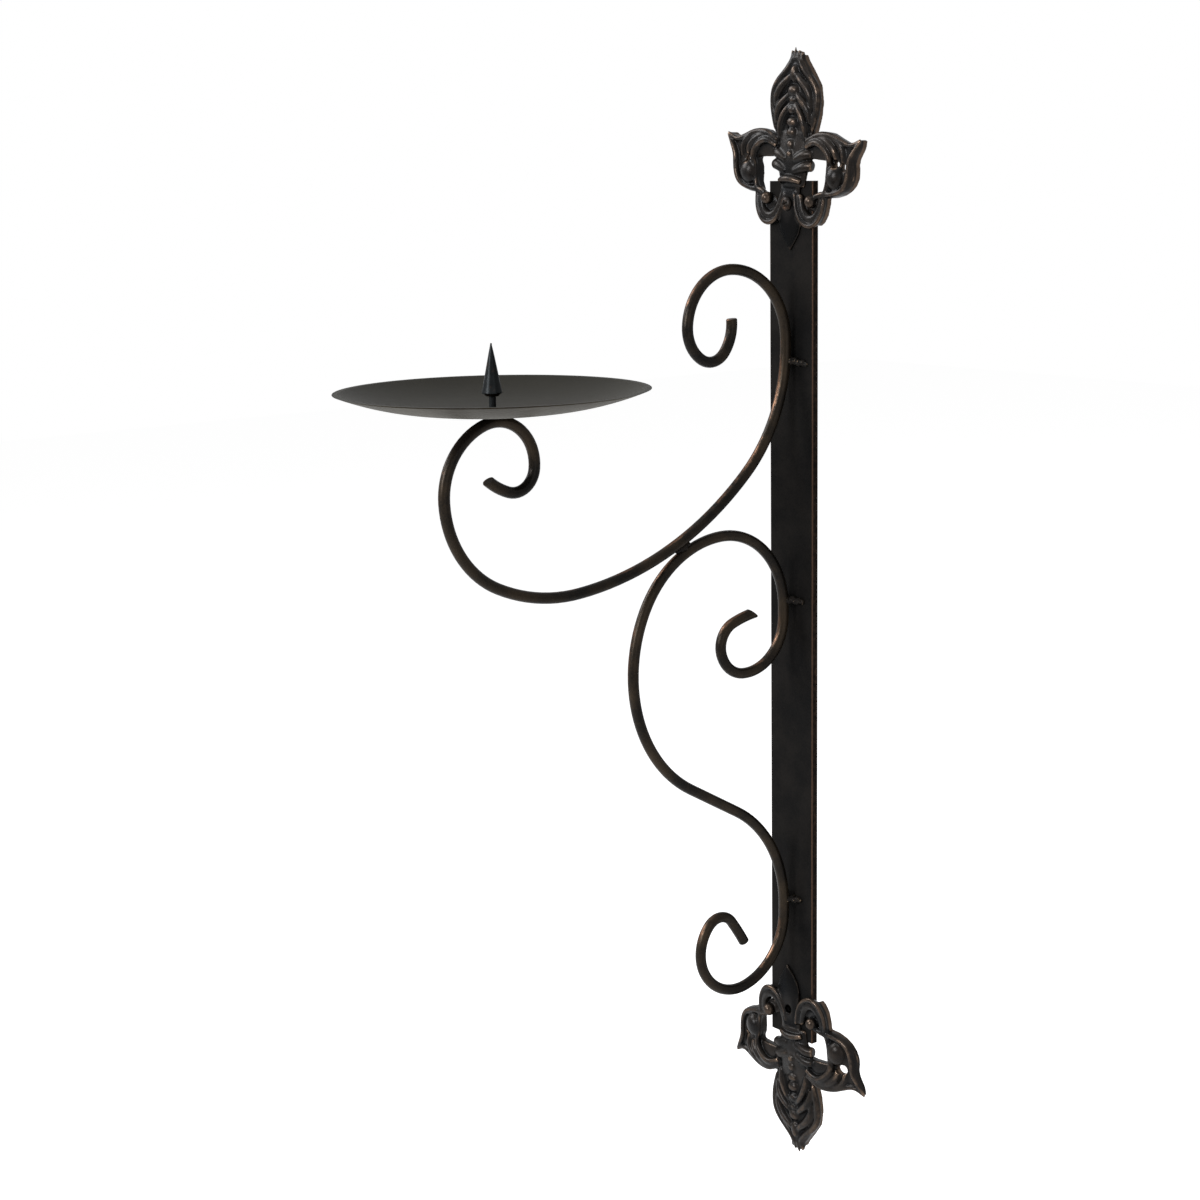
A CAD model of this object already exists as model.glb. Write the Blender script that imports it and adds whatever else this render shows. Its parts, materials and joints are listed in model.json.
import json
import math

import bmesh
import bpy
import numpy as np
from mathutils import Matrix, Quaternion, Vector, noise


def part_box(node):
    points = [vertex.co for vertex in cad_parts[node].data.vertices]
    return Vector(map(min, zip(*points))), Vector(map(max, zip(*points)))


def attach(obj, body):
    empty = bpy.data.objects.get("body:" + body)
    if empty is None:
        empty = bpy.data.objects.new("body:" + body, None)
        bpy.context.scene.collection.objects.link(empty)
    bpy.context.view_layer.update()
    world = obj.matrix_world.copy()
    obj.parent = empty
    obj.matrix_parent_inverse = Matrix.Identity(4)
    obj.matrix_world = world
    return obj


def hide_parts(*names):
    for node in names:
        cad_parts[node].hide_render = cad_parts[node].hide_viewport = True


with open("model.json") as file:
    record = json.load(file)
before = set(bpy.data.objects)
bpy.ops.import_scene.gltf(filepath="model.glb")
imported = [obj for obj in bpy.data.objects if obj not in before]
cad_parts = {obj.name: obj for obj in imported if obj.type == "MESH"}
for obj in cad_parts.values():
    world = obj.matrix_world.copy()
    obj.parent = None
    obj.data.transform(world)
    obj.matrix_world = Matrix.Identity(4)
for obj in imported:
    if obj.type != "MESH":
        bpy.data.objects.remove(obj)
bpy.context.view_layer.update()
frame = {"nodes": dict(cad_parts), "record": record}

scene = bpy.context.scene
nodes = frame["nodes"]
mm = 0.001
print("frame loaded:", len(nodes), "nodes")


# camera, at the photograph's angle
camera = {
    "place": (0.88613, -0.83263, 0.25630),
    "azimuth": 52.0,
    "elevation": 11.35,
    "roll": -0.01842,
    "lens": 65.85,
    "sensor": 36.0,
    "nearest": 0.01,
}


def makeCamera(spec):
    turn, lift = math.radians(spec["azimuth"]), math.radians(spec["elevation"])
    back = Vector((math.sin(turn) * math.cos(lift), -math.cos(turn) * math.cos(lift), math.sin(lift)))
    data = bpy.data.cameras.new("camera")
    data.lens = spec["lens"]
    data.sensor_width = spec["sensor"]
    data.clip_start = spec["nearest"]
    eye = bpy.data.objects.new("camera", data)
    eye.location = spec["place"]
    eye.rotation_mode = "QUATERNION"
    eye.rotation_quaternion = (-back).to_track_quat("-Z", "Y") @ Quaternion((0, 0, 1), spec["roll"])
    scene.collection.objects.link(eye)
    scene.camera = eye


makeCamera(camera)
print("camera placed")


# node helpers; a value is a number, a colour or another node's output
def setSocket(tree, socket, value):
    if isinstance(value, bpy.types.NodeSocket):
        tree.links.new(value, socket)
    else:
        socket.default_value = value


def addNode(tree, kind, values=None, **settings):
    node = tree.nodes.new(kind)
    for key, value in settings.items():
        setattr(node, key, value)
    for key, value in (values or {}).items():
        setSocket(tree, node.inputs[key], value)
    return node


def put(tree, kind, values=None, **settings):
    return addNode(tree, "ShaderNode" + kind, values, **settings)


def calc(tree, operation, *values):
    return put(tree, "Math", dict(enumerate(values)), operation=operation).outputs[0]


def vectorCalc(tree, operation, *values):
    return put(tree, "VectorMath", dict(enumerate(values)), operation=operation).outputs


def weighted(tree, *pairs):  # sum of two values, each times its share
    return calc(tree, "ADD", *(calc(tree, "MULTIPLY", *pair) for pair in pairs))


def ease(tree, value, low, high):  # 0 below low, 1 above high, smooth between
    span = {"Value": value, "From Min": low, "From Max": high}
    return put(tree, "MapRange", span, interpolation_type="SMOOTHSTEP").outputs["Result"]


def noiseAt(tree, place, scale, detail, roughness=0.5):
    look = {"Vector": place, "Scale": scale, "Detail": detail, "Roughness": roughness}
    return put(tree, "TexNoise", look).outputs["Fac"]


def faceNormal(tree):
    return put(tree, "NewGeometry").outputs["Normal"]


def splitAxes(tree, vector):
    return put(tree, "SeparateXYZ", {"Vector": vector}).outputs


def mixColour(tree, factor, first, second):
    node = put(tree, "Mix", {"Factor": factor}, data_type="RGBA")
    colourA, colourB, result = node.inputs[6], node.inputs[7], node.outputs[2]  # its colour sockets
    setSocket(tree, colourA, first)
    setSocket(tree, colourB, second)
    return result


def rgb(red, green, blue):
    return (red, green, blue, 1.0)


def newGroup(name, inputs, outputs):  # sockets as name: kind
    tree = bpy.data.node_groups.new(name, "ShaderNodeTree")
    for way, sockets in (("INPUT", inputs), ("OUTPUT", outputs)):
        for label, kind in sockets.items():
            tree.interface.new_socket(label, in_out=way, socket_type="NodeSocket" + kind)
    enter = tree.nodes.new("NodeGroupInput")
    leave = tree.nodes.new("NodeGroupOutput")
    return tree, enter.outputs, leave.inputs


def placeGroup(tree, group, values):
    return put(tree, "Group", values, node_tree=group).outputs


# aged lacquer: cloudy patches, fine speckle and a grain for the bump
lacquerLook = {
    "patchNoise": (6.0, 0.62),  # detail and roughness
    "grainNoise": (3.0, 0.6),
    "cloudSpan": (0.32, 0.7),
    "speckleSpan": (0.35, 0.75),
    "cloudShare": 0.75,
    "speckleShare": 0.35,
    "patchRough": 0.6,
    "grainRough": 0.4,
}


def makeLacquerGroup(look):
    tree, enter, leave = newGroup(
        "agedLacquer",
        {"Vector": "Vector", "Dark": "Color", "Pale": "Color", "Patch Scale": "Float", "Grain Scale": "Float",
         "Rough Low": "Float", "Rough High": "Float"},
        {"Color": "Color", "Roughness": "Float", "Height": "Float"})
    patches = noiseAt(tree, enter["Vector"], enter["Patch Scale"], *look["patchNoise"])
    grain = noiseAt(tree, enter["Vector"], enter["Grain Scale"], *look["grainNoise"])
    cloud = ease(tree, patches, *look["cloudSpan"])
    speckle = ease(tree, grain, *look["speckleSpan"])
    blend = weighted(tree, (cloud, look["cloudShare"]), (speckle, look["speckleShare"]))
    tree.links.new(mixColour(tree, blend, enter["Dark"], enter["Pale"]), leave["Color"])
    span = calc(tree, "SUBTRACT", enter["Rough High"], enter["Rough Low"])
    wander = weighted(tree, (patches, look["patchRough"]), (grain, look["grainRough"]))
    rough = calc(tree, "ADD", enter["Rough Low"], calc(tree, "MULTIPLY", span, wander))
    tree.links.new(rough, leave["Roughness"])
    tree.links.new(grain, leave["Height"])
    return tree


# rubbed copper: where a wear mask is high the lacquer has gone and the copper wash shows, in broken patches
rubLook = {
    "noise": (5.0, 0.65),
    "maskGain": 1.5,
    "wearSpan": (-0.15, 0.6),
}


def makeRubGroup(look):
    tree, enter, leave = newGroup(
        "rubbedCopper",
        {"Vector": "Vector", "Color": "Color", "Copper": "Color", "Mask": "Float", "Break Scale": "Float",
         "Amount": "Float"},
        {"Color": "Color", "Wear": "Float"})
    broken = noiseAt(tree, enter["Vector"], enter["Break Scale"], *look["noise"])
    lean = calc(tree, "SUBTRACT", calc(tree, "MULTIPLY", enter["Mask"], look["maskGain"]), broken)
    wear = calc(tree, "MULTIPLY", ease(tree, lean, *look["wearSpan"]), enter["Amount"])
    tree.links.new(mixColour(tree, wear, enter["Color"], enter["Copper"]), leave["Color"])
    tree.links.new(wear, leave["Wear"])
    return tree


# dust that settles on what faces up
dustLook = {
    "noise": (5.0, 0.7),
    "driftSpan": (0.3, 0.75),
    "upSpan": (0.2, 0.95),
}


def makeDustGroup(look):
    tree, enter, leave = newGroup(
        "settledDust",
        {"Vector": "Vector", "Color": "Color", "Dust": "Color", "Amount": "Float", "Scale": "Float",
         "Evenness": "Float"},
        {"Color": "Color", "Mask": "Float"})
    upward = splitAxes(tree, faceNormal(tree))["Z"]
    patches = noiseAt(tree, enter["Vector"], enter["Scale"], *look["noise"])
    drift = calc(tree, "MAXIMUM", ease(tree, patches, *look["driftSpan"]), enter["Evenness"])
    lying = calc(tree, "MULTIPLY", ease(tree, upward, *look["upSpan"]), drift)
    mask = calc(tree, "MULTIPLY", lying, enter["Amount"])
    tree.links.new(mixColour(tree, mask, enter["Color"], enter["Dust"]), leave["Color"])
    tree.links.new(mask, leave["Mask"])
    return tree


lacquerGroup = makeLacquerGroup(lacquerLook)
rubGroup = makeRubGroup(rubLook)
dustGroup = makeDustGroup(dustLook)
print("shader groups ready")


def newMaterial(name, specular, edgeTint):
    material = bpy.data.materials.new(name)
    material.use_nodes = True
    tree = material.node_tree
    shader = tree.nodes["Principled BSDF"]
    shader.inputs["Specular IOR Level"].default_value = specular
    shader.inputs["Specular Tint"].default_value = edgeTint
    place = put(tree, "TexCoord").outputs["Object"]
    return material, tree, shader, place


def bronzeFinish(name, changes, maskMaker):  # lacquer, then wear from the surface's own mask, then dust
    spec = {**bronze, **changes}
    material, tree, shader, place = newMaterial(name, spec["specular"], spec["edgeTint"])
    lacquer = placeGroup(tree, lacquerGroup, {
        "Vector": place, "Dark": spec["dark"], "Pale": spec["pale"], "Patch Scale": spec["patchScale"],
        "Grain Scale": spec["grainScale"], "Rough Low": spec["roughLow"], "Rough High": spec["roughHigh"]})
    rub = placeGroup(tree, rubGroup, {
        "Vector": place, "Color": lacquer["Color"], "Copper": spec["copper"], "Mask": maskMaker(tree, place),
        "Break Scale": spec["breakScale"], "Amount": spec["wear"]})
    dust = placeGroup(tree, dustGroup, {
        "Vector": place, "Color": rub["Color"], "Dust": spec["dustColour"], "Amount": spec["dust"],
        "Scale": spec["dustScale"], "Evenness": spec["dustEvenness"]})
    link = tree.links.new
    sunk = put(tree, "Attribute", attribute_name="sunk").outputs["Fac"]  # only the finials have it
    link(mixColour(tree, sunk, dust["Color"], spec["dark"]), shader.inputs["Base Color"])
    sheen = calc(tree, "MULTIPLY", rub["Wear"], spec["wearGloss"])
    link(calc(tree, "SUBTRACT", lacquer["Roughness"], sheen), shader.inputs["Roughness"])
    metal = calc(tree, "ADD", calc(tree, "MULTIPLY", rub["Wear"], 1.0 - spec["metallic"]), spec["metallic"])
    metal = calc(tree, "MULTIPLY", metal, calc(tree, "SUBTRACT", 1.0, dust["Mask"]))
    link(calc(tree, "MAXIMUM", metal, sunk), shader.inputs["Metallic"])
    grain = {"Strength": spec["bump"], "Distance": spec["bumpDepth"], "Height": lacquer["Height"]}
    link(put(tree, "Bump", grain).outputs["Normal"], shader.inputs["Normal"])
    return material


bronze = {  # the finish that all pieces share; each piece changes what differs
    "dark": rgb(0.0042, 0.0044, 0.0047),
    "pale": rgb(0.015, 0.0112, 0.0086),
    "copper": rgb(0.1, 0.058, 0.038),
    "patchScale": 70.0,
    "grainScale": 1400.0,
    "breakScale": 420.0,
    "roughLow": 0.22,
    "roughHigh": 0.42,
    "wear": 0.6,
    "wearGloss": 0.05,
    "dust": 0.04,
    "dustScale": 160.0,
    "dustEvenness": 0.0,
    "dustColour": rgb(0.09, 0.08, 0.07),
    "metallic": 0.4,
    "specular": 0.14,
    "edgeTint": rgb(0.4, 0.415, 0.435),
    "bump": 0.25,
    "bumpDepth": 0.0002,
}


# back rail: copper along its long edges, faint streaks down its length
railLow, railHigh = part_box("back_rail")
rail = {
    "halfWidth": railHigh.x,
    "face": railLow.y,
    "edgeFade": 0.0009,
    "sideTone": 0.36,
    "streakScale": (600.0, 600.0, 14.0),
    "streakDetail": 4.0,
    "streakSpan": (0.55, 0.8),
    "streakShare": 0.3,
    "finish": {
        "dark": rgb(0.0053, 0.0053, 0.0054), "pale": rgb(0.0104, 0.0094, 0.0087), "patchScale": 45.0,
        "wear": 0.5, "dust": 0.02, "roughLow": 0.2, "roughHigh": 0.36, "specular": 0.008, "metallic": 0.06},
}


def railMask(tree, place):
    where = splitAxes(tree, place)
    across = calc(tree, "ABSOLUTE", where["X"])
    side = ease(tree, across, rail["halfWidth"] - rail["edgeFade"], rail["halfWidth"])
    front = ease(tree, where["Y"], rail["face"] + rail["edgeFade"], rail["face"] + rail["edgeFade"] / 2)
    edge = calc(tree, "MULTIPLY", side, calc(tree, "MAXIMUM", front, rail["sideTone"]))
    stretched = put(tree, "Mapping", {"Vector": place, "Scale": rail["streakScale"]}).outputs["Vector"]
    streaks = ease(tree, noiseAt(tree, stretched, 1.0, rail["streakDetail"]), *rail["streakSpan"])
    return calc(tree, "ADD", edge, calc(tree, "MULTIPLY", streaks, rail["streakShare"]))


railFinish = bronzeFinish("railBronze", rail["finish"], railMask)


# round bar: the side that hands and cloths reach is rubbed, in long patches
bar = {
    "reachSide": (-0.35, -0.55, 0.75),
    "facingSpan": (0.25, 1.0),
    "patchScale": 38.0,
    "patchNoise": (4.0, 0.6),
    "patchSpan": (0.34, 0.68),
    "finish": {
        "pale": rgb(0.031, 0.0222, 0.0142), "copper": rgb(0.11, 0.064, 0.042), "patchScale": 34.0,
        "wear": 0.95},
}


def barMask(tree, place):
    facing = vectorCalc(tree, "DOT_PRODUCT", faceNormal(tree), bar["reachSide"])["Value"]
    patches = noiseAt(tree, place, bar["patchScale"], *bar["patchNoise"])
    reached = ease(tree, facing, *bar["facingSpan"])
    return calc(tree, "MULTIPLY", reached, ease(tree, patches, *bar["patchSpan"]))


barFinish = bronzeFinish("barBronze", bar["finish"], barMask)


# drip pan: brown-grey, with rubbed rim and faint turning marks
panLow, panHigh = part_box("drip_pan")
pan = {
    "axis": ((panLow + panHigh) / 2)[:2],
    "rimRadius": (panHigh.x - panLow.x) / 2,
    "rimInside": 0.0015,
    "rimOutside": 0.0024,
    "ringPitch": 0.0009,
    "ringDetail": 2.0,
    "ringSpan": (0.4, 0.9),
    "ringShare": 0.3,
    "finish": {
        "dark": rgb(0.036, 0.0332, 0.0272), "pale": rgb(0.078, 0.0725, 0.06),
        "copper": rgb(0.0125, 0.0082, 0.0058), "edgeTint": rgb(0.43, 0.42, 0.385),
        "dustColour": rgb(0.006, 0.0056, 0.0038), "dust": 1.0, "dustScale": 900.0, "dustEvenness": 0.86,
        "wear": 1.0, "grainScale": 1000.0, "bump": 0.5, "metallic": 0.1, "roughLow": 0.42, "roughHigh": 0.56,
        "patchScale": 22.0, "specular": 0.042},
}


def panRadius(tree, place):
    fromAxis = vectorCalc(tree, "SUBTRACT", place, (*pan["axis"], 0.0))["Vector"]
    level = vectorCalc(tree, "MULTIPLY", fromAxis, (1.0, 1.0, 0.0))["Vector"]
    return vectorCalc(tree, "LENGTH", level)["Value"]


def panMask(tree, place):
    radius = panRadius(tree, place)
    outside = calc(tree, "LESS_THAN", splitAxes(tree, faceNormal(tree))["Z"], 0.0)
    wider = calc(tree, "MULTIPLY", outside, pan["rimOutside"] - pan["rimInside"])
    start = calc(tree, "SUBTRACT", pan["rimRadius"], calc(tree, "ADD", pan["rimInside"], wider))
    rim = ease(tree, radius, start, calc(tree, "ADD", start, pan["rimInside"] / 2))
    turned = {"W": calc(tree, "DIVIDE", radius, pan["ringPitch"]), "Scale": 1.0, "Detail": pan["ringDetail"]}
    rings = put(tree, "TexNoise", turned, noise_dimensions="1D").outputs["Fac"]
    marks = calc(tree, "MULTIPLY", ease(tree, rings, *pan["ringSpan"]), pan["ringShare"])
    return calc(tree, "ADD", rim, marks)


panFinish = bronzeFinish("panBronze", pan["finish"], panMask)


# castings and welds are rubbed on their own high points, small plain pieces in patches
patchy = {"scale": 150.0, "detail": 4.0, "span": (0.45, 0.8)}
weldWear = {"ridges": 0.8, "patches": 0.5}


def rubMask(tree, place):
    return put(tree, "Attribute", attribute_name="rub").outputs["Fac"]


def patchMask(tree, place):
    return ease(tree, noiseAt(tree, place, patchy["scale"], patchy["detail"]), *patchy["span"])


def weldMask(tree, place):
    ridges = calc(tree, "MULTIPLY", rubMask(tree, place), weldWear["ridges"])
    return calc(tree, "MAXIMUM", ridges, calc(tree, "MULTIPLY", patchMask(tree, place), weldWear["patches"]))


finialFinish = bronzeFinish("finialBronze", {
    "copper": rgb(0.104, 0.074, 0.054), "wear": 0.84, "breakScale": 300.0, "roughLow": 0.2, "roughHigh": 0.36,
    "specular": 0.25}, rubMask)
pricketFinish = bronzeFinish("pricketBronze", {
    "dark": rgb(0.0055, 0.0062, 0.0066), "pale": rgb(0.014, 0.0156, 0.0164), "specular": 0.085,
    "wear": 0.15}, patchMask)
weldFinish = bronzeFinish("weldBronze", {
    "copper": rgb(0.17, 0.125, 0.078), "wear": 0.8, "roughLow": 0.3}, weldMask)
screwFinish = bronzeFinish("screwBronze", {"wear": 0.5}, patchMask)

slotFinish = {
    "rail_bronze": railFinish,
    "bar_bronze": barFinish,
    "finial_bronze": finialFinish,
    "pan_bronze": panFinish,
    "pricket_bronze": pricketFinish,
    "weld_metal": weldFinish,
}
for row in frame["record"]["subparts"]:
    for holder in nodes[row["node"]].material_slots:
        holder.material = slotFinish[row["material_slot"]]
print("finishes on the CAD nodes")


# mesh helpers; ornament shapes are made in millimetres and placed at the end
def meshObject(name, points, faces):
    data = bpy.data.meshes.new(name)
    data.from_pydata([tuple(point) for point in points], [], faces)
    data.update()
    thing = bpy.data.objects.new(name, data)
    scene.collection.objects.link(thing)
    return thing


def bakeMesh(thing, name):  # the evaluated shape as a plain mesh in a new object
    data = bpy.data.meshes.new_from_object(thing.evaluated_get(bpy.context.evaluated_depsgraph_get()))
    bpy.data.objects.remove(thing)
    data.name = name
    done = bpy.data.objects.new(name, data)
    scene.collection.objects.link(done)
    return done


def joinMeshes(name, things):
    build = bmesh.new()
    for thing in things:
        build.from_mesh(thing.data)
        bpy.data.objects.remove(thing)
    data = bpy.data.meshes.new(name)
    build.to_mesh(data)
    build.free()
    whole = bpy.data.objects.new(name, data)
    scene.collection.objects.link(whole)
    return whole


def fuse(thing, voxel):  # one skin round all the joined shapes
    remesh = thing.modifiers.new("fuse", "REMESH")
    remesh.mode = "VOXEL"
    remesh.voxel_size = voxel
    return bakeMesh(thing, thing.name)


def meshArrays(data):
    points = np.zeros(len(data.vertices) * 3)
    data.vertices.foreach_get("co", points)
    edges = np.zeros(len(data.edges) * 2, int)
    data.edges.foreach_get("vertices", edges)
    return points.reshape(-1, 3), edges.reshape(-1, 2)


def relax(points, edges, rounds, share=0.5):  # each point moves towards the mean of its neighbours
    count = np.bincount(edges.ravel(), minlength=len(points))[:, None]
    for turn in range(rounds):
        total = np.zeros_like(points)
        for axis in range(3):
            for here, there in ((0, 1), (1, 0)):
                values = points[edges[:, there], axis]
                total[:, axis] += np.bincount(edges[:, here], weights=values, minlength=len(points))
        points = points + share * (total / count - points)
    return points


def smoothMesh(thing, rounds):
    points, edges = meshArrays(thing.data)
    thing.data.vertices.foreach_set("co", relax(points, edges, rounds).ravel())
    thing.data.update()


def reliefOf(thing, rounds):  # how far each point stands out from the smoothed shape
    points, edges = meshArrays(thing.data)
    normals = np.zeros(len(points) * 3)
    thing.data.vertices.foreach_get("normal", normals)
    return points, ((points - relax(points, edges, rounds)) * normals.reshape(-1, 3)).sum(1)


def smoothStep(values, low, high):
    share = np.clip((values - low) / (high - low), 0, 1)
    return share * share * (3 - 2 * share)


def mark(thing, name, values):
    layer = thing.data.attributes.new(name, "FLOAT", "POINT")
    layer.data.foreach_set("value", values.astype(np.float32))


def within(*tests):  # product of smooth steps, each a pair of values and span
    return math.prod(smoothStep(values, *span) for values, span in tests)


def markFinial(thing, spec, shift):  # rub: ridges, and evenly behind the face; sunk: where it stays dark
    points, rise = reliefOf(thing, spec["rubRounds"])
    # measured from halfway between the middles of the casting and of its drilled plate
    across, out, up = np.abs(points[:, 0] - shift[0] / 2), -points[:, 1], points[:, 2] - shift[1] / 2
    behind = np.clip(spec["sideFrom"] - out, 0, 1)
    inEye = within((across, spec["eyeSides"]), (up, spec["eyeFoot"]), (up, spec["eyeTop"]))
    ridges = smoothStep(rise, *spec["ridge"]) * (1 - behind)
    mark(thing, "rub", ridges + spec["sideTone"] * behind * (1 - inEye))
    fromEdge = np.interp(up, *spec["plateWidth"]) - across
    plate = within((fromEdge, spec["plateEdge"]), (up, spec["plateTop"]), (out, spec["plateOut"]))
    neck = within((across, spec["neckSides"]), (up, spec["neckFoot"]), (up, spec["neckTop"]))
    band = smoothStep(up, *spec["bandTop"]) * (1 - behind)
    hollow = smoothStep(rise, *spec["hollow"]) * (1 - behind)
    mark(thing, "sunk", np.max([spec["plateDark"] * plate, spec["neckDark"] * neck, spec["bandDark"] * band,
                                spec["hollowDark"] * hollow], 0))


def finishPiece(thing, material, placing, slot, *replaced):
    thing.data.transform(placing)
    thing.data.materials.clear()
    thing.data.materials.append(material)
    thing.data.polygons.foreach_set("use_smooth", [True] * len(thing.data.polygons))
    thing.data.update()
    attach(thing, "root")
    if replaced:
        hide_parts(*replaced)


# geometry node helpers
def newTree(name, sizes):  # one named input for each size
    tree = bpy.data.node_groups.new(name, "GeometryNodeTree")
    tree.interface.new_socket("Geometry", in_out="INPUT", socket_type="NodeSocketGeometry")
    for label, value in sizes.items():
        kind = "NodeSocketInt" if isinstance(value, int) else "NodeSocketFloat"
        tree.interface.new_socket(label, in_out="INPUT", socket_type=kind).default_value = value
    tree.interface.new_socket("Geometry", in_out="OUTPUT", socket_type="NodeSocketGeometry")
    return tree, tree.nodes.new("NodeGroupInput").outputs, tree.nodes.new("NodeGroupOutput").inputs


def closeTree(tree, geometry, material, leave):
    real = addNode(tree, "GeometryNodeRealizeInstances", {"Geometry": geometry}).outputs["Geometry"]
    painted = addNode(tree, "GeometryNodeSetMaterial", {"Geometry": real, "Material": material})
    tree.links.new(painted.outputs["Geometry"], leave["Geometry"])


def runTree(thing, tree, values, name):
    modifier = thing.modifiers.new(tree.name, "NODES")
    modifier.node_group = tree
    names = {item.name: item.identifier for item in tree.interface.items_tree if item.in_out == "INPUT"}
    for label, value in values.items():
        modifier[names[label]] = value
    return bakeMesh(thing, name)


ribSizes = {"Step": 0.6, "Sides": 12, "Girth": 1.0}
beadSizes = {"Roundness": 3, "Girth": 1.0}


def makeRibTree():  # a round rib along each spline, as thick as the spline's radius
    tree, enter, leave = newTree("ribTree", ribSizes)
    even = addNode(tree, "GeometryNodeResampleCurve", {
        "Curve": enter["Geometry"], "Length": enter["Step"]}, mode="LENGTH")
    ring = addNode(tree, "GeometryNodeCurvePrimitiveCircle", {
        "Resolution": enter["Sides"], "Radius": enter["Girth"]})
    skin = addNode(tree, "GeometryNodeCurveToMesh", {
        "Curve": even.outputs["Curve"], "Profile Curve": ring.outputs["Curve"], "Fill Caps": True,
        "Scale": addNode(tree, "GeometryNodeInputRadius").outputs["Radius"]})
    closeTree(tree, skin.outputs["Mesh"], finialFinish, leave)
    return tree


def makeBeadTree():  # a bead on each point, as large as the point's own size
    tree, enter, leave = newTree("beadTree", beadSizes)
    bead = addNode(tree, "GeometryNodeMeshIcoSphere", {
        "Radius": enter["Girth"], "Subdivisions": enter["Roundness"]})
    size = addNode(tree, "GeometryNodeInputNamedAttribute", {"Name": "beadSize"}, data_type="FLOAT_VECTOR")
    beads = addNode(tree, "GeometryNodeInstanceOnPoints", {
        "Points": enter["Geometry"], "Instance": bead.outputs["Mesh"], "Scale": size.outputs["Attribute"]})
    closeTree(tree, beads.outputs["Instances"], finialFinish, leave)
    return tree


ribTree = makeRibTree()
beadTree = makeBeadTree()


def ribs(name, lines):  # lines of (across, up, out, radius) become one mesh of ribs
    data = bpy.data.curves.new(name, "CURVE")
    data.dimensions = "3D"
    for line in lines:
        spline = data.splines.new("NURBS")
        spline.points.add(len(line) - 1)
        for point, (across, up, out, radius) in zip(spline.points, line):
            point.co = (across, -out, up, 1.0)
            point.radius = radius
        spline.order_u = 3
        spline.use_endpoint_u = True
        spline.resolution_u = 6
    thing = bpy.data.objects.new(name, data)
    scene.collection.objects.link(thing)
    return runTree(thing, ribTree, ribSizes, name)


def beads(name, rows):  # rows of (across, up, out, half sizes)
    thing = meshObject(name, [(across, -out, up) for across, up, out, size in rows], [])
    sizes = thing.data.attributes.new("beadSize", "FLOAT_VECTOR", "POINT")
    sizes.data.foreach_set("vector", [value for row in rows for value in row[3]])
    return runTree(thing, beadTree, beadSizes, name)


def bothSides(lines):
    return lines + [[(-point[0], *point[1:]) for point in line] for line in lines]


def alongLine(line, count):  # evenly spaced points on a broken line
    line = np.array(line, float)
    length = np.concatenate(([0], np.cumsum(np.linalg.norm(np.diff(line, axis=0), axis=1))))
    where = np.linspace(0, length[-1], count)
    return np.stack([np.interp(where, length, line[:, axis]) for axis in range(line.shape[1])], 1)


def skin(name, rings):  # closed mesh over rings of points, with an end face at both ends
    size = len(rings[0])
    points = [point for ring in rings for point in ring]
    faces = []
    for i in range(len(rings) - 1):
        for j in range(size):
            k = (j + 1) % size
            faces.append((i * size + j, (i + 1) * size + j, (i + 1) * size + k, i * size + k))
    faces += [tuple(range(size)), tuple(reversed(range(len(points) - size, len(points))))]
    return meshObject(name, points, faces)


def cushion(name, first, second, spec):  # a rounded band between two lines, lower at both ends
    rings = []
    count = spec["rows"]
    lines = zip(alongLine(first, count), alongLine(second, count))
    for i, (a, b) in enumerate(lines):
        taper = min(1.0, spec["endRise"] + spec["taper"] * min(i, count - 1 - i) / count)
        ring = []
        for share in np.linspace(0, 1, spec["columns"]):
            u, v = a + share * (b - a)
            rise = (spec["crown"] - spec["edge"]) * taper * math.sin(math.pi * share)
            ring.append((u, -(spec["edge"] + rise), v))
        rings.append(ring + [(b[0], -spec["back"], b[1]), (a[0], -spec["back"], a[1])])
    return skin(name, rings)


def ribbon(name, line, half, back, front, count=60):  # an upright wall along a line
    middle = alongLine(line, count)
    along = np.gradient(middle, axis=0)
    along /= np.linalg.norm(along, axis=1)[:, None]
    rings = []
    for (u, v), (du, dv) in zip(middle, along):
        a, b = (u - dv * half, v + du * half), (u + dv * half, v - du * half)
        rings.append([(a[0], -back, a[1]), (a[0], -front, a[1]), (b[0], -front, b[1]), (b[0], -back, b[1])])
    return skin(name, rings)


def shield(name, stations, rim, spec):  # crowned plate through (height, half width, crown) stations
    table = np.array(stations)
    rings = []
    for height in np.linspace(table[0, 0], table[-1, 0], spec["rows"]):
        width, crown = (np.interp(height, table[:, 0], table[:, axis]) for axis in (1, 2))
        ring = []
        for share in np.linspace(-1, 1, spec["columns"]):
            rise = (crown - rim) * (1 - share * share) ** spec["fullness"]
            ring.append((share * width, -(rim + rise), height))
        rings.append(ring + [(width, -spec["back"], height), (-width, -spec["back"], height)])
    return skin(name, rings)


def drilledPlate(name, outline, spec):  # plate round the screw hole, highest at the hole
    count, rings = spec["sides"], spec["rings"]
    closed = alongLine(outline + outline[:1], count + 1)[:-1]
    points, faces = [], []
    for step in range(rings + 1):
        share = step / rings
        out = spec["middle"] + (spec["edge"] - spec["middle"]) * share ** spec["dish"]
        for across, up in closed:
            angle = math.atan2(up, across)
            near = (spec["holeRadius"] * math.cos(angle), spec["holeRadius"] * math.sin(angle))
            points.append((near[0] + share * (across - near[0]), -out, near[1] + share * (up - near[1])))
    back = len(points)
    points += [(point[0], 0, point[2]) for point in points]
    for step in range(rings):
        for i in range(count):
            j = (i + 1) % count
            a, b, c, d = step * count + i, step * count + j, (step + 1) * count + j, (step + 1) * count + i
            faces += [(a, b, c, d), (back + d, back + c, back + b, back + a)]
    for i in range(count):
        j = (i + 1) % count
        last = rings * count
        faces += [(i, back + i, back + j, j), (last + j, back + last + j, back + last + i, last + i)]
    return meshObject(name, points, faces)


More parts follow.
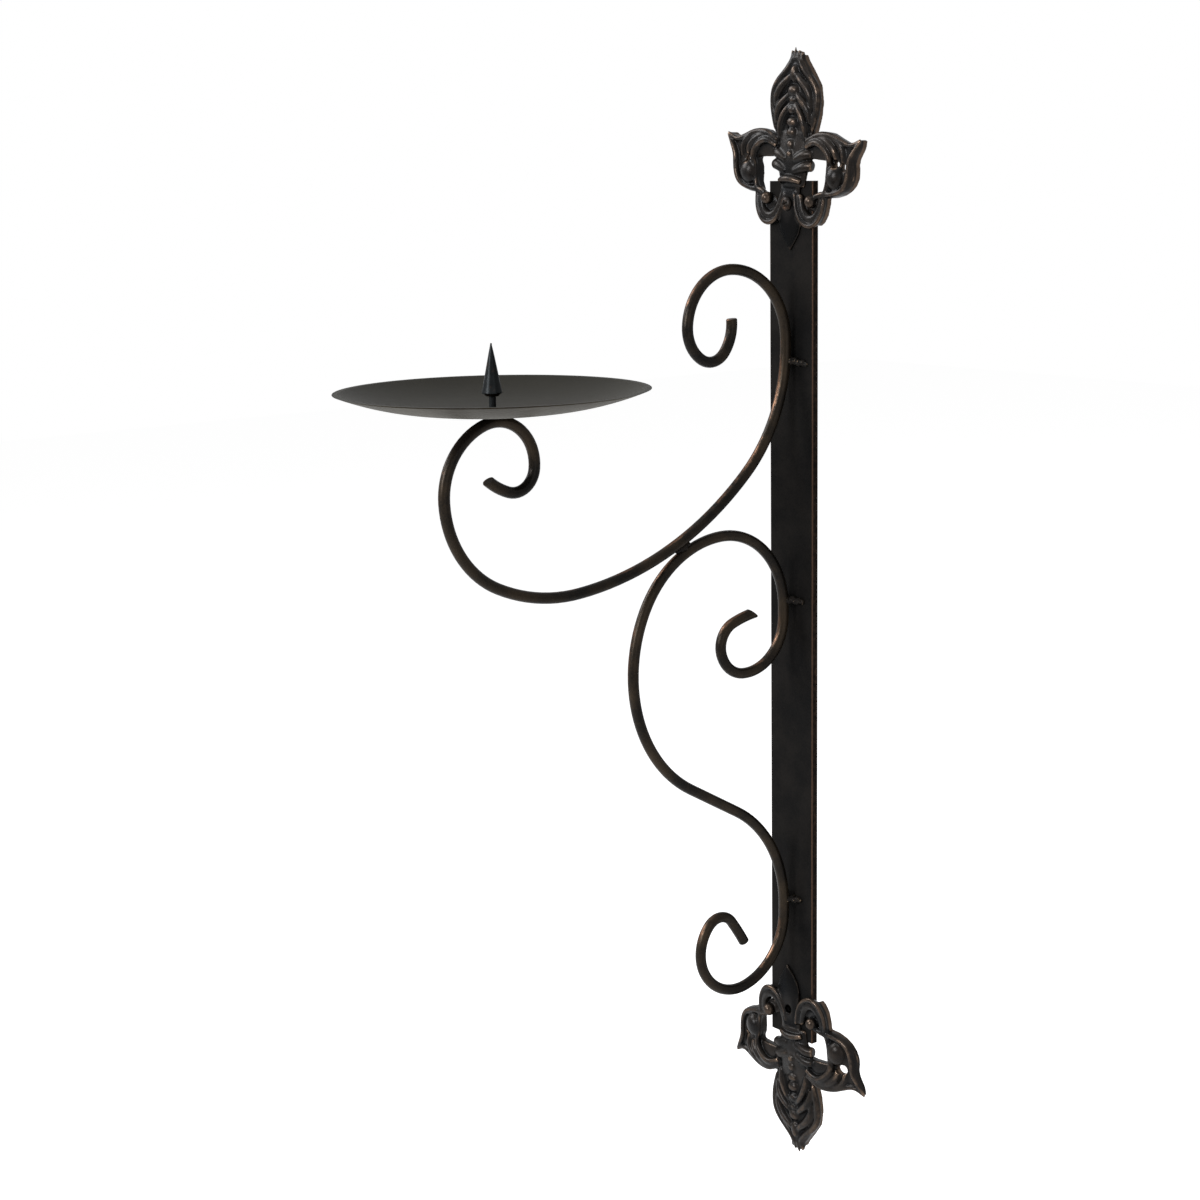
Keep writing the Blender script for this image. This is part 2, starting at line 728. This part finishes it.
def cutSlits(thing, rows, back, front, count=24):  # oval holes right through, as middles and half sizes
    cutters = []
    turns = [2 * math.pi * step / count for step in range(count)]
    for across, up, halfAcross, halfUp in rows:
        oval = [(across + halfAcross * math.cos(turn), up + halfUp * math.sin(turn)) for turn in turns]
        cutters.append(skin("slit", [[(u, -out, v) for u, v in oval] for out in (back, front)]))
    cutter = joinMeshes("slits", cutters)
    build = bmesh.new()
    build.from_mesh(cutter.data)
    bmesh.ops.recalc_face_normals(build, faces=build.faces)
    build.to_mesh(cutter.data)
    build.free()
    cut = thing.modifiers.new("slits", "BOOLEAN")
    cut.operation = "DIFFERENCE"
    cut.object = cutter
    done = bakeMesh(thing, thing.name)
    bpy.data.objects.remove(cutter)
    return done


# finial: cast fleur-de-lis, sizes in millimetres across, up and out from its screw hole and the rail's face
finial = {
    "petal": [(24, 9.0, 2.2), (30, 11.4, 2.3), (40, 15.0, 2.4), (48, 17.0, 2.4), (54, 17.5, 2.4),
              (62, 16.0, 2.3), (69, 10.6, 2.1), (75, 5.6, 1.9), (80, 4.4, 1.4)],
    "petalRim": 0.6,
    "shield": {"back": -0.6, "fullness": 0.7, "rows": 60, "columns": 25},
    "petalEdge": [(3.4, 78), (5.2, 75.0), (10.0, 69.4), (15.4, 62.4), (17.0, 54), (16.4, 47), (14.4, 39.5),
                  (12.6, 35)],
    "petalRibs": [
        [(1.4, 78.4, 1.2, 0.9), (3.6, 73.6, 1.4, 1.5), (8.0, 69.2, 1.3, 1.9), (12.9, 65.2, 1.1, 2.0),
         (16.2, 60.8, 0.9, 2.1), (17.2, 56.4, 0.8, 2.1), (16.8, 50.6, 0.8, 2.1), (15.8, 45.4, 0.8, 1.9),
         (14.2, 39.6, 0.8, 1.5)],
        [(0.8, 69.5, 2.0, 1.1), (3.2, 66.6, 2.3, 1.9), (6.6, 64.2, 2.3, 2.3), (9.8, 61.4, 2.2, 2.5),
         (12.3, 58.0, 2.0, 2.5), (13.6, 54.6, 1.7, 2.2), (13.4, 49.6, 1.2, 1.5)],
        [(1.6, 59.0, 2.2, 1.2), (4.4, 56.4, 2.5, 2.0), (8.2, 53.4, 2.4, 2.4), (11.2, 50.2, 2.2, 2.4),
         (12.8, 46.8, 1.8, 2.1), (13.0, 42.6, 1.3, 1.5)],
        [(1.8, 53.0, 2.2, 1.2), (4.4, 50.2, 2.6, 1.9), (6.9, 46.9, 2.6, 2.2), (8.6, 43.2, 2.5, 2.2),
         (9.8, 39.3, 2.2, 2.0), (10.0, 35.2, 1.7, 1.4)]],
    "tipPoints": [
        [(-3.4, 76, 1.0, 1.2), (-3.9, 80.6, 0.9, 0.6)],
        [(-1.0, 76, 1.4, 1.4), (-0.9, 80, 1.2, 0.9), (-1.2, 82.4, 1.0, 0.4)],
        [(1.4, 76, 1.3, 1.3), (1.9, 80.7, 1.0, 0.7)],
        [(3.2, 76, 1.0, 1.2), (4.4, 79.4, 0.9, 0.7)]],
    "beads": [(0, 68.6, 2.2, (2.8, 2.2, 4.6)), (0, 59.8, 2.4, (4.2, 2.4, 3.1)),
              (0, 54.9, 2.2, (3.2, 2.1, 2.2)), (0, 49.8, 2.4, (3.6, 2.2, 2.7)),
              (0, 43.2, 2.4, (4.0, 2.4, 3.0)), (0, 37.9, 2.5, (3.6, 2.2, 2.6)),
              (0, 31.4, 2.9, (2.9, 2.0, 2.7)), (0, 26.6, 3.3, (2.5, 1.9, 2.2))],
    "leafRim": [(11.4, 34.6), (18, 38.4), (24.5, 39.2), (31, 38.6), (37.5, 36.0), (43.6, 33.8),
                (47.7, 34.3), (51.4, 36.2), (51.2, 32), (47.8, 26.4), (46.9, 23), (47.5, 19), (47.3, 16),
                (45.7, 12.2), (42.7, 9), (38.4, 6.6), (32.6, 5.0), (26.4, 4.6)],
    "leafEye": [(10.6, 24.0), (15.4, 24.6), (20, 24.2), (25, 24.0), (28.6, 23.4), (28.8, 21.4), (27.4, 19),
                (26.9, 15.3), (27, 10), (25.6, 7.0)],
    "leafPlate": {"edge": 0.7, "crown": 1.9, "back": -1.2, "endRise": 0.4, "taper": 5.0, "rows": 48,
                  "columns": 11},
    "leafSkirt": [(43.6, 33.4), (47.6, 33.8), (50.8, 35.5), (50.2, 31.8), (46.9, 26.3), (46.1, 22.8),
                  (46.7, 18.9), (46.5, 15.8), (44.9, 12.5), (42.0, 9.6), (38.0, 7.3), (32.4, 5.7),
                  (26.4, 5.3)],
    "eyeWall": [(8, 24.6), (15, 25.3), (20, 25.0), (25, 24.8), (28.9, 24.2), (29.6, 21.6), (28.2, 19),
                (27.7, 15.3), (27.8, 10), (26.2, 6.6)],
    "leafRibs": [
        [(11, 33.4, 2.2, 1.4), (18, 36.9, 2.2, 1.9), (24.5, 37.6, 2.0, 1.9), (31, 36.9, 1.8, 1.8),
         (37.2, 34.5, 1.7, 1.7), (43.4, 32.6, 1.7, 1.5), (47.6, 33.4, 1.9, 1.2), (51.8, 36.2, 2.2, 0.6)],
        [(51.6, 35.4, 2.2, 0.8), (48.4, 31.0, 2.3, 1.4), (45.8, 27.2, 2.4, 1.7), (44.5, 24, 2.4, 1.8),
         (44.3, 20, 2.4, 1.8), (43.9, 16.4, 2.4, 1.8), (42.7, 12.6, 2.4, 1.8), (40.4, 9.8, 2.3, 1.8),
         (36.6, 8.0, 2.2, 1.7), (31.6, 6.8, 2.0, 1.6), (26.4, 6.3, 1.8, 1.6)],
        [(11.4, 30.4, 2.6, 1.4), (16, 33.0, 3.0, 1.8), (20.6, 33.4, 3.2, 2.0), (25.4, 31.2, 3.2, 2.0),
         (29.2, 27.4, 3.0, 2.0), (30.2, 23.4, 2.6, 1.8), (28.8, 19.6, 2.1, 1.5), (28.4, 15.2, 1.9, 1.4),
         (28.0, 10.8, 1.9, 1.5), (26.4, 6.4, 1.8, 1.6)],
        [(15, 35.6, 1.8, 1.4), (21.4, 36.0, 2.2, 1.8), (27.2, 34.4, 2.3, 2.2), (31.8, 31.2, 2.3, 2.3),
         (34.0, 27.8, 2.2, 2.1), (34.4, 25.0, 1.8, 1.4)],
        [(25.6, 36.8, 1.4, 1.4), (31.6, 35.8, 1.6, 1.9), (35.8, 33.6, 1.7, 2.1), (38.4, 30.6, 1.7, 2.1),
         (39.4, 27, 1.6, 1.9), (39.2, 23.8, 1.4, 1.4)]],
    "bulges": [(33.5, 15.8, 1.4, (6.2, 4.6, 6.8))],
    "upperSlits": [(34.6, 22.5, 2.0, 1.5), (39.8, 21.2, 1.7, 1.8), (-34.6, 22.5, 1.6, 1.5)],
    "lowerSlits": [(39.4, 20.2, 2.2, 2.6), (-37.0, 24.2, 3.6, 2.6)],
    "neck": [(9, 9.4, 2.8), (14, 10.2, 3.6), (18, 11.2, 4.0), (24, 12.4, 3.9), (30, 12.6, 3.5),
             (38, 13.0, 2.7)],
    "neckRim": 0.8,
    "neckRibs": [
        [(3.0, 17.2, 2.4, 2.2), (8.0, 19.4, 2.0, 2.9), (12.0, 20.6, 0.8, 3.2), (14.6, 20.4, -0.2, 2.9)],
        [(3.4, 23.6, 2.4, 2.2), (8.0, 25.8, 2.0, 2.9), (12.0, 27.0, 0.8, 3.1), (14.2, 26.6, -0.2, 2.8)]],
    "collar": [(-8.4, 12.0, 2.6, 1.4), (-5, 13.0, 3.6, 1.9), (0, 13.5, 4.0, 2.1), (5, 13.0, 3.6, 1.9),
               (8.4, 12.0, 2.6, 1.4)],
    "band": [(24.6, 7.8), (24.4, 1.5), (23.2, -4), (20.2, -8.2), (16.2, -9.5), (12, -8.4), (8.6, -5),
             (6.4, -0.4), (5.6, 5.4)],
    "bandSkirt": [(26.0, 6.5), (25.8, 1.5), (24.4, -4.6), (22.2, -8.2), (19.8, -10.0)],
    "volutes": [
        [(26.2, 7.4, 1.8, 1.2), (26.0, 1.6, 2.2, 1.4), (24.8, -4.6, 2.4, 1.4), (21.0, -9.8, 2.6, 1.5),
         (15.8, -11.4, 2.7, 1.5), (10.4, -9.4, 2.8, 1.4), (6.8, -5.0, 2.8, 1.3), (4.8, 0.6, 2.8, 1.2),
         (4.0, 5.6, 2.6, 1.0)],
        [(23.6, 6.6, 0.8, 1.8), (23.2, 0.6, 0.9, 2.3), (21.4, -4.8, 0.9, 2.5), (16.2, -7.8, 1.0, 2.5),
         (11.2, -5.4, 1.0, 2.4), (8.4, -0.6, 1.0, 2.2), (7.2, 5.0, 1.0, 1.6)]],
    "ribbons": {  # half width and front of the walls along some of these lines
        "leafSkirt": (0.8, 1.6), "eyeWall": (0.9, 0.6), "petalEdge": (0.8, 1.6), "band": (2.3, 2.3),
        "bandSkirt": (0.8, 2.3)},
    "webs": [(-17.4, -1.6, 0.1, (7.0, 1.2, 6.4)), (17.4, 0.8, 0.1, (7.0, 1.2, 4.2))],
    "balls": [(17.2, 2.2, 3.3, (3.5, 3.2, 3.5))],
    "stems": [[(17.6, 3.4, 2.6, 1.5), (20.4, 5.8, 2.2, 1.4), (25.4, 6.6, 1.9, 1.6)]],
    "upperShift": (1.3, 0.0),  # the castings aren't drilled quite in their middle
    "lowerShift": (-1.9, 1.6),
    "tongue": [(7.6, 12), (8.0, 0), (9.2, -6), (9.4, -11), (8.0, -16), (5.0, -20.5), (1.6, -25.4),
               (-3.2, -20.5), (-6.2, -16), (-7.6, -11), (-7.6, -6), (-7.2, 0), (-7.6, 12)],
    "tonguePlate": {"holeRadius": 2.25, "edge": 1.2, "middle": 3.0, "dish": 3, "sides": 120, "rings": 6},
    "tongueRibs": [[(0.2, -7.5, 2.0, 0.9), (0.6, -14, 1.7, 1.0), (1.4, -24, 1.1, 0.6)]],
    "plateWidth": ((-26, -13, -8, 12), (10.5, 10.5, 6.5, 6.0)),
    "plateEdge": (0.0, 1.5),
    "plateTop": (10.5, 8.5),
    "plateOut": (3.4, 2.8),
    "plateDark": 0.85,
    "neckSides": (10.0, 7.0),
    "neckFoot": (14.0, 16.0),
    "neckTop": (25.0, 22.0),
    "neckDark": 0.6,
    "bandTop": (8.0, 4.0),
    "bandDark": 0.35,
    "hollow": (0.1, -0.5),
    "hollowDark": 0.9,
    "bendFrom": 19.0,
    "bendOver": 32.0,
    "bendPower": 1.3,
    "wall": -3.6,
    "slitReach": (-4.6, 9.0),
    "voxel": 0.44,
    "smoothing": 6,
    "rubRounds": 50,
    "ridge": (0.0, 0.9),
    "sideFrom": 0.4,
    "eyeSides": (31.0, 29.5),
    "eyeFoot": (5.5, 7.5),
    "eyeTop": (27.5, 26.0),
    "sideTone": 0.6,
    "lowerBend": 4.0,  # the lower finial's leaves are bent back towards the wall
    "lowerScale": 1.045,  # the lower finial is a little larger
    "upperCant": 3.5,  # both finials sit a little crooked
    "lowerCant": 3.0,
}


def onSide(side, line):
    return [(side * across, up) for across, up in line]


def makeFinial(name, spec, placing, node, slits, shift, bend=0.0):
    things = [shield(key, spec[key], spec[key + "Rim"], spec["shield"]) for key in ("petal", "neck")]
    paired = spec["petalRibs"] + spec["leafRibs"] + spec["neckRibs"] + spec["volutes"] + spec["stems"]
    things.append(ribs("ribs", bothSides(paired) + spec["tipPoints"] + [spec["collar"]]))
    lumps = spec["balls"] + spec["bulges"]
    lumps += [(-row[0], *row[1:]) for row in lumps]
    things.append(beads("beads", spec["beads"] + spec["webs"] + lumps))
    for side in (1, -1):
        rim, eye = onSide(side, spec["leafRim"]), onSide(side, spec["leafEye"])
        things.append(cushion("leafPlate", rim, eye, spec["leafPlate"]))
        for key, (half, front) in spec["ribbons"].items():
            back = 0.0 if key == "band" else spec["wall"]  # the band ends at the rail's face
            things.append(ribbon(key, onSide(side, spec[key]), half, back, front))
    body = joinMeshes(name, things)
    body.data.transform(Matrix.Translation((shift[0], 0, shift[1])))
    plate = drilledPlate("tongue", spec["tongue"], spec["tonguePlate"])
    body = fuse(joinMeshes(name, [body, plate, ribs("tongueRibs", spec["tongueRibs"])]), spec["voxel"])
    slits = [(across + shift[0], up + shift[1], *sizes) for across, up, *sizes in slits]
    body = cutSlits(body, slits, *spec["slitReach"])
    smoothMesh(body, spec["smoothing"])
    markFinial(body, spec, shift)
    for vertex in body.data.vertices:
        reach = max(0.0, abs(vertex.co.x - shift[0]) - spec["bendFrom"]) / spec["bendOver"]
        vertex.co.y = min(vertex.co.y + bend * reach ** spec["bendPower"], -spec["wall"])
    finishPiece(body, finialFinish, placing, "finial_bronze", node)
    print(name, "has", len(body.data.polygons), "faces")


mounts = {mount["name"]: mount for mount in frame["record"]["mounts"]}
holeHeight = mounts["wall_holes"]["dims"]["spacing_y_mm"] / 2


def onRail(height, turn, size=1.0):  # millimetres on the rail's face to the frame's metres
    return (Matrix.Translation((0, rail["face"], height * mm)) @ Matrix.Rotation(math.radians(turn), 4, "Y")
            @ Matrix.Scale(size * mm, 4))


upperPlace = onRail(holeHeight, finial["upperCant"])
lowerPlace = onRail(-holeHeight, 180 - finial["lowerCant"], finial["lowerScale"])
makeFinial("upperFinial", finial, upperPlace, "upper_finial", finial["upperSlits"], finial["upperShift"])
makeFinial("lowerFinial", finial, lowerPlace, "lower_finial", finial["lowerSlits"], finial["lowerShift"],
           finial["lowerBend"])


# wall screw in the upper hole: round head with a cross recess
screw = {
    "headRadius": 3.8,
    "headHeight": 2.1,
    "seat": 3.0,
    "neckStep": 0.05,
    "edgeRound": 0.15,
    "edgeHeight": 0.5,
    "recessFoot": 0.4,
    "recessHalf": 0.5,
    "recessReach": 2.0,
    "recessDepth": 1.2,
    "shankRadius": 1.95,
    "shankEnd": -3.9,
    "turn": 24.0,
    "rings": 30,
    "sides": 96,
}


def makeScrew(name, spec, placing):
    turn = math.radians(spec["turn"])
    shank, head, seat = spec["shankRadius"], spec["headRadius"], spec["seat"]
    edge = seat + spec["edgeHeight"]
    rings = [(shank, spec["shankEnd"]), (shank, 0.0), (shank, seat - spec["neckStep"]),
             (head - spec["edgeRound"], seat), (head, seat + spec["edgeRound"]), (head, edge)]
    for step in range(1, spec["rings"] + 1):
        angle = math.pi / 2 * step / spec["rings"]
        dome = (spec["headHeight"] - spec["edgeHeight"]) * math.sin(angle)
        rings.append((head * math.cos(angle), edge + dome))
    points = [(0, -spec["shankEnd"], 0)]
    for radius, out in rings[:-1]:
        for side in range(spec["sides"]):
            angle = 2 * math.pi * side / spec["sides"]
            u, v = radius * math.cos(angle), radius * math.sin(angle)
            a = abs(u * math.cos(turn) + v * math.sin(turn))
            b = abs(v * math.cos(turn) - u * math.sin(turn))
            inCross = min(a, b) < spec["recessHalf"] and max(a, b) < spec["recessReach"]
            sunk = spec["recessDepth"] if inCross and out > seat + spec["recessFoot"] else 0.0
            points.append((u, -(out - sunk), v))
    points.append((0, -(rings[-1][1] - spec["recessDepth"]), 0))
    count, last = spec["sides"], len(points) - 1
    faces = [(0, 1 + (side + 1) % count, 1 + side) for side in range(count)]
    for ring in range(len(rings) - 2):
        for side in range(count):
            here, beside = 1 + ring * count + side, 1 + ring * count + (side + 1) % count
            faces.append((here, beside, beside + count, here + count))
    top = 1 + (len(rings) - 2) * count
    faces += [(top + side, top + (side + 1) % count, last) for side in range(count)]
    finishPiece(meshObject(name, points, faces), screwFinish, placing, "finial_bronze")


makeScrew("wallScrew", screw, upperPlace)
print("wall screw set")


# weld beads: lumps fused into one rough bead; rows are across, up and out with half sizes, in millimetres
weld = {
    "railLumps": [(-6.6, 0.2, 0.5, (2.0, 1.3, 1.7)), (-3.8, -0.2, 1.8, (2.3, 2.2, 2.1)),
                  (-0.8, 0.2, 2.4, (2.6, 2.6, 2.4)), (2.4, -0.1, 2.4, (2.6, 2.4, 2.4)),
                  (5.2, 0.3, 1.6, (2.2, 1.9, 2.1)), (7.6, -0.2, 1.2, (2.1, 1.7, 1.9)),
                  (10.0, 0.3, 0.7, (2.0, 1.4, 1.8)), (12.0, 0.0, 0.3, (1.6, 1.1, 1.4))],
    "voxel": 0.28,
    "smoothing": 2,
    "lumpiness": 0.34,
    "lumpScale": 1.1,
    "pitting": 0.05,
    "pitScale": 3.2,
    "seedStep": (17.3, 5.1, 9.7),
    "rubRounds": 10,
    "ridge": (0.02, 0.3),
}
railWelds = [  # name, node, height and length against the lumps above, slant in degrees
    ("armWeld", "arm_rail_weld", 1.0, 1.0, 9.0),
    ("middleWeld", "brace_rail_weld_middle", 1.45, 0.8, 3.0),
    ("footWeld", "brace_rail_weld_lower", 1.45, 0.64, 0.0),
]
joint = {
    "steps": (-1.0, -0.45, 0.1, 0.6, 1.0),
    "taper": 0.3,
    "wander": 0.5,
    "waves": 7,
    "width": 1.2,
    "rough": 0.4,
    "firstSeed": 4,
}
jointWelds = [  # name, node, half length and thickness
    ("scrollWeld", "scroll_weld", 3.6, 2.3),
    ("panWeld", "pan_weld", 4.4, 1.9),
    ("upperFinialWeld", "upper_finial_weld", 6.0, 1.2),
    ("lowerFinialWeld", "lower_finial_weld", 6.0, 1.2),
]


def roughen(thing, spec, seed, share):  # moves the skin along its normals by two sizes of noise
    offset = Vector([seed * step for step in spec["seedStep"]])
    for vertex in thing.data.vertices:
        rise = spec["lumpiness"] * noise.noise(vertex.co * spec["lumpScale"] + offset)
        rise += spec["pitting"] * noise.noise(vertex.co * spec["pitScale"] + offset)
        vertex.co += vertex.normal * rise * share
    thing.data.update()


def makeWeld(name, spec, lumps, placing, node, seed, rough=1.0):
    bead = fuse(beads(name, lumps), spec["voxel"])
    smoothMesh(bead, spec["smoothing"])
    roughen(bead, spec, seed, rough)
    mark(bead, "rub", smoothStep(reliefOf(bead, spec["rubRounds"])[1], *spec["ridge"]))
    finishPiece(bead, weldFinish, placing, "weld_metal", node)


def middleOf(node):
    low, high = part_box(node)
    return (low + high) / 2


def longAxis(node):  # the direction in which a bead's CAD mesh is longest
    points = meshArrays(nodes[node].data)[0]
    return Vector(np.linalg.svd(points - points.mean(0), full_matrices=False)[2][0])


def makeJointWeld(name, spec, node, spread, size, seed):  # a short row of lumps along a joint
    axis, middle = longAxis(node), middleOf(node)
    rows = []
    for step in spec["steps"]:
        place = axis * spread * step
        grow = size * (1.0 - spec["taper"] * abs(step))
        across = place.x + spec["wander"] * math.sin(spec["waves"] * step)
        rows.append((across, place.z, -place.y, (grow * spec["width"], grow, grow)))
    placing = Matrix.Translation(middle) @ Matrix.Scale(mm, 4)
    makeWeld(name, weld, rows, placing, node, seed, spec["rough"])


for seed, (name, node, climb, reach, slant) in enumerate(railWelds):
    lumps = [(u * reach if u > 0 else u, v, w * climb, (a, b * climb, c))
             for u, v, w, (a, b, c) in weld["railLumps"]]
    makeWeld(name, weld, lumps, onRail(middleOf(node).z / mm, slant), node, seed)
for seed, (name, node, spread, size) in enumerate(jointWelds, joint["firstSeed"]):
    makeJointWeld(name, joint, node, spread, size, seed)
print("welds laid")


# pricket cone: sheet rolled into a cone, its edge lapping over at the seam
coneLow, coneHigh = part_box("pricket_cone")
cone = {
    "mouth": (coneHigh.x - coneLow.x) / 2 / mm,
    "tip": 0.42,
    "height": (coneHigh.z - coneLow.z) / mm,
    "sheet": 0.8,
    "lap": 0.55,
    "overlap": 0.4,
    "seam": -12.0,
    "thinnest": 0.3,
    "bore": 0.05,
    "pointDrop": 0.3,
    "pointSize": (0.5, 0.5, 0.6),
    "levels": 40,
    "turns": 110,
    "voxel": 0.22,
    "smoothing": 2,
}


def makeCone(name, spec, placing, node):
    levels, turns = spec["levels"], spec["turns"]
    sweep = 2 * math.pi + spec["overlap"]
    points, faces = [], []
    for level in range(levels + 1):
        share = level / levels
        radius = spec["mouth"] + share * (spec["tip"] - spec["mouth"])
        thin = max(radius / spec["mouth"], spec["thinnest"])
        for turn in range(turns + 1):
            angle = math.radians(spec["seam"]) + sweep * (turn / turns - 1.0)
            outer = radius - spec["lap"] * thin * (1.0 - turn / turns)
            inner = max(outer - spec["sheet"] * thin, spec["bore"])
            for reach in (outer, inner):
                points.append((reach * math.cos(angle), reach * math.sin(angle), share * spec["height"]))
    ring = 2 * (turns + 1)
    for level in range(levels):
        for turn in range(turns):
            a, b = level * ring + 2 * turn, level * ring + 2 * turn + 2
            faces += [(a, b, b + ring, a + ring), (b + 1, a + 1, a + 1 + ring, b + 1 + ring)]
        first, last = level * ring, level * ring + 2 * turns
        faces += [(first + 1, first, first + ring, first + 1 + ring),
                  (last, last + 1, last + 1 + ring, last + ring)]
    for turn in range(turns):
        low, high = 2 * turn, levels * ring + 2 * turn
        faces += [(low + 2, low, low + 1, low + 3), (high, high + 2, high + 3, high + 1)]
    sheet = meshObject(name, points, faces)
    point = beads("conePoint", [(0, spec["height"] - spec["pointDrop"], 0, spec["pointSize"])])
    body = fuse(joinMeshes(name, [sheet, point]), spec["voxel"])
    smoothMesh(body, spec["smoothing"])
    finishPiece(body, pricketFinish, placing, "pricket_bronze", node)


coneFoot = Vector((*middleOf("pricket_cone").xy, coneLow.z))
makeCone("pricketCone", cone, Matrix.Translation(coneFoot) @ Matrix.Scale(mm, 4), "pricket_cone")
print("cone rolled")


# studio: white all round for the eye and for reflections, a plain level of light for the object
studio = {
    "skyLight": 0.28,
    "floorHeight": -0.62,
    "floorSize": 12.0,
    "floorColour": rgb(0.8, 0.8, 0.8),
    "floorRoughness": 0.9,
    "floorLift": 0.76,
    "lamps": [("key", (-0.15, -1.9, 0.7), 0.7, 40.0), ("left", (-1.35, -0.95, 1.05), 1.0, 34.0),
              ("fill", (1.7, -0.6, 0.3), 1.2, 5.0), ("top", (0.0, -0.5, 1.7), 1.0, 5.0)],
    "aim": (0.0, -0.1, 0.02),
}


def seenDirectly(tree):  # camera, mirror and glass rays
    path = put(tree, "LightPath").outputs
    mirrored = calc(tree, "MAXIMUM", path["Is Glossy Ray"], path["Is Transmission Ray"])
    return calc(tree, "MAXIMUM", path["Is Camera Ray"], mirrored)


def makeStudio(spec):
    world = bpy.data.worlds.new("studioWorld")
    world.use_nodes = True
    tree = world.node_tree
    tree.nodes.clear()
    sky = put(tree, "Background", {"Color": rgb(1, 1, 1), "Strength": spec["skyLight"]})
    white = put(tree, "Background", {"Color": rgb(1, 1, 1), "Strength": 1.0})
    both = put(tree, "MixShader", {0: seenDirectly(tree), 1: sky.outputs[0], 2: white.outputs[0]})
    put(tree, "OutputWorld", {"Surface": both.outputs[0]})
    scene.world = world

    half = spec["floorSize"] / 2
    corners = [(-half, -half), (half, -half), (half, half), (-half, half)]
    floor = meshObject("floor", [(x, y, spec["floorHeight"]) for x, y in corners], [(0, 1, 2, 3)])
    material = bpy.data.materials.new("paleFloor")
    material.use_nodes = True
    tree = material.node_tree
    shader = tree.nodes["Principled BSDF"]
    shader.inputs["Base Color"].default_value = spec["floorColour"]
    shader.inputs["Roughness"].default_value = spec["floorRoughness"]
    shader.inputs["Specular IOR Level"].default_value = 0.0
    shader.inputs["Emission Color"].default_value = rgb(1, 1, 1)
    glow = calc(tree, "MULTIPLY", seenDirectly(tree), spec["floorLift"])
    tree.links.new(glow, shader.inputs["Emission Strength"])
    floor.data.materials.append(material)

    for name, place, size, power in spec["lamps"]:
        data = bpy.data.lights.new(name, "AREA")
        data.size = size
        data.energy = power
        lamp = bpy.data.objects.new(name, data)
        lamp.location = place
        lamp.rotation_mode = "QUATERNION"
        lamp.rotation_quaternion = (Vector(spec["aim"]) - Vector(place)).to_track_quat("-Z", "Y")
        scene.collection.objects.link(lamp)


makeStudio(studio)
scene.view_settings.view_transform = "Standard"
print("studio lit")
